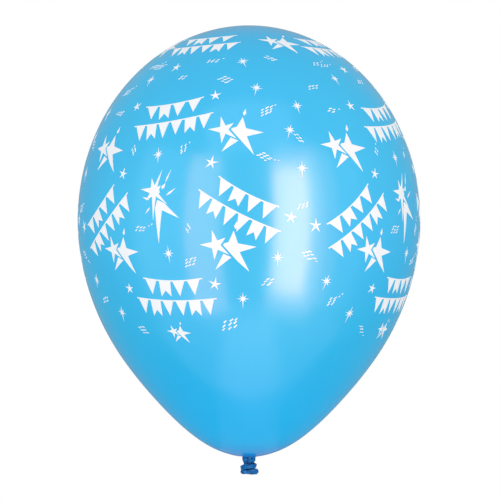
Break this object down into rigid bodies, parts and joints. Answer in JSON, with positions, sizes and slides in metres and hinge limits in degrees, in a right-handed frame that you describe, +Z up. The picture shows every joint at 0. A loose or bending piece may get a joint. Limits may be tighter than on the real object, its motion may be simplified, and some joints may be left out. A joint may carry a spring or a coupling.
{
  "type": "latex balloon",
  "caption": "Inflated round latex balloon with an all-over star print, tied off with a knot in its neck above a rolled bead; it sways on the neck where a ribbon or stick holds it.",
  "frame": {"origin": "on the balloon's axis in the waist of the neck, just above the knot, where a ribbon or stick holds it", "axes": "+Z up through the crown; -Z down through the knot and tail; -Y faces the viewer, +X is to the viewer's right"},
  "size_m": [0.28, 0.28, 0.3679],
  "materials": {
    "envelope_latex": "gloss",
    "crown_latex": "gloss",
    "throat_latex": "satin",
    "neck_latex": "satin",
    "knot_latex": "satin",
    "bead_latex": "satin",
    "print_ink": "satin"
  },
  "bodies": {
    "neck": {"neck": "neck_latex"},
    "throat": {"throat_sleeve": "throat_latex"},
    "envelope": {"envelope": "envelope_latex", "crown_cap": "crown_latex", "throat_gather": "throat_latex"},
    "knot_core": {"knot_core": "knot_latex"},
    "knot": {"knot_turn": "knot_latex", "knot_tuck": "knot_latex", "tail_tube": "neck_latex"},
    "tail": {"rolled_bead": "bead_latex"}
  },
  "joints": [
    {"name": "sway_side", "type": "hinge", "parent": "neck", "child": "throat", "pos_m": [0, 0, 0.0036], "axis": [0, 1, 0], "range_deg": [-25, 25], "stiffness_Nm_per_rad": 0.02},
    {"name": "sway_front", "type": "hinge", "parent": "throat", "child": "envelope", "pos_m": [0, 0, 0.0036], "axis": [1, 0, 0], "range_deg": [-25, 25], "stiffness_Nm_per_rad": 0.02},
    {"name": "knot_side", "type": "hinge", "parent": "neck", "child": "knot_core", "pos_m": [0, 0, -0.0012], "axis": [0, 1, 0], "range_deg": [-12, 12], "stiffness_Nm_per_rad": 0.00005},
    {"name": "knot_front", "type": "hinge", "parent": "knot_core", "child": "knot", "pos_m": [0, 0, -0.0012], "axis": [1, 0, 0], "range_deg": [-12, 12], "stiffness_Nm_per_rad": 0.00005},
    {"name": "tail_stretch", "type": "slide", "parent": "knot", "child": "tail", "axis": [0, 0, -1], "range_m": [0, 0.008], "stiffness_N_per_m": 1, "deforming": ["tail_tube"]}
  ]
}
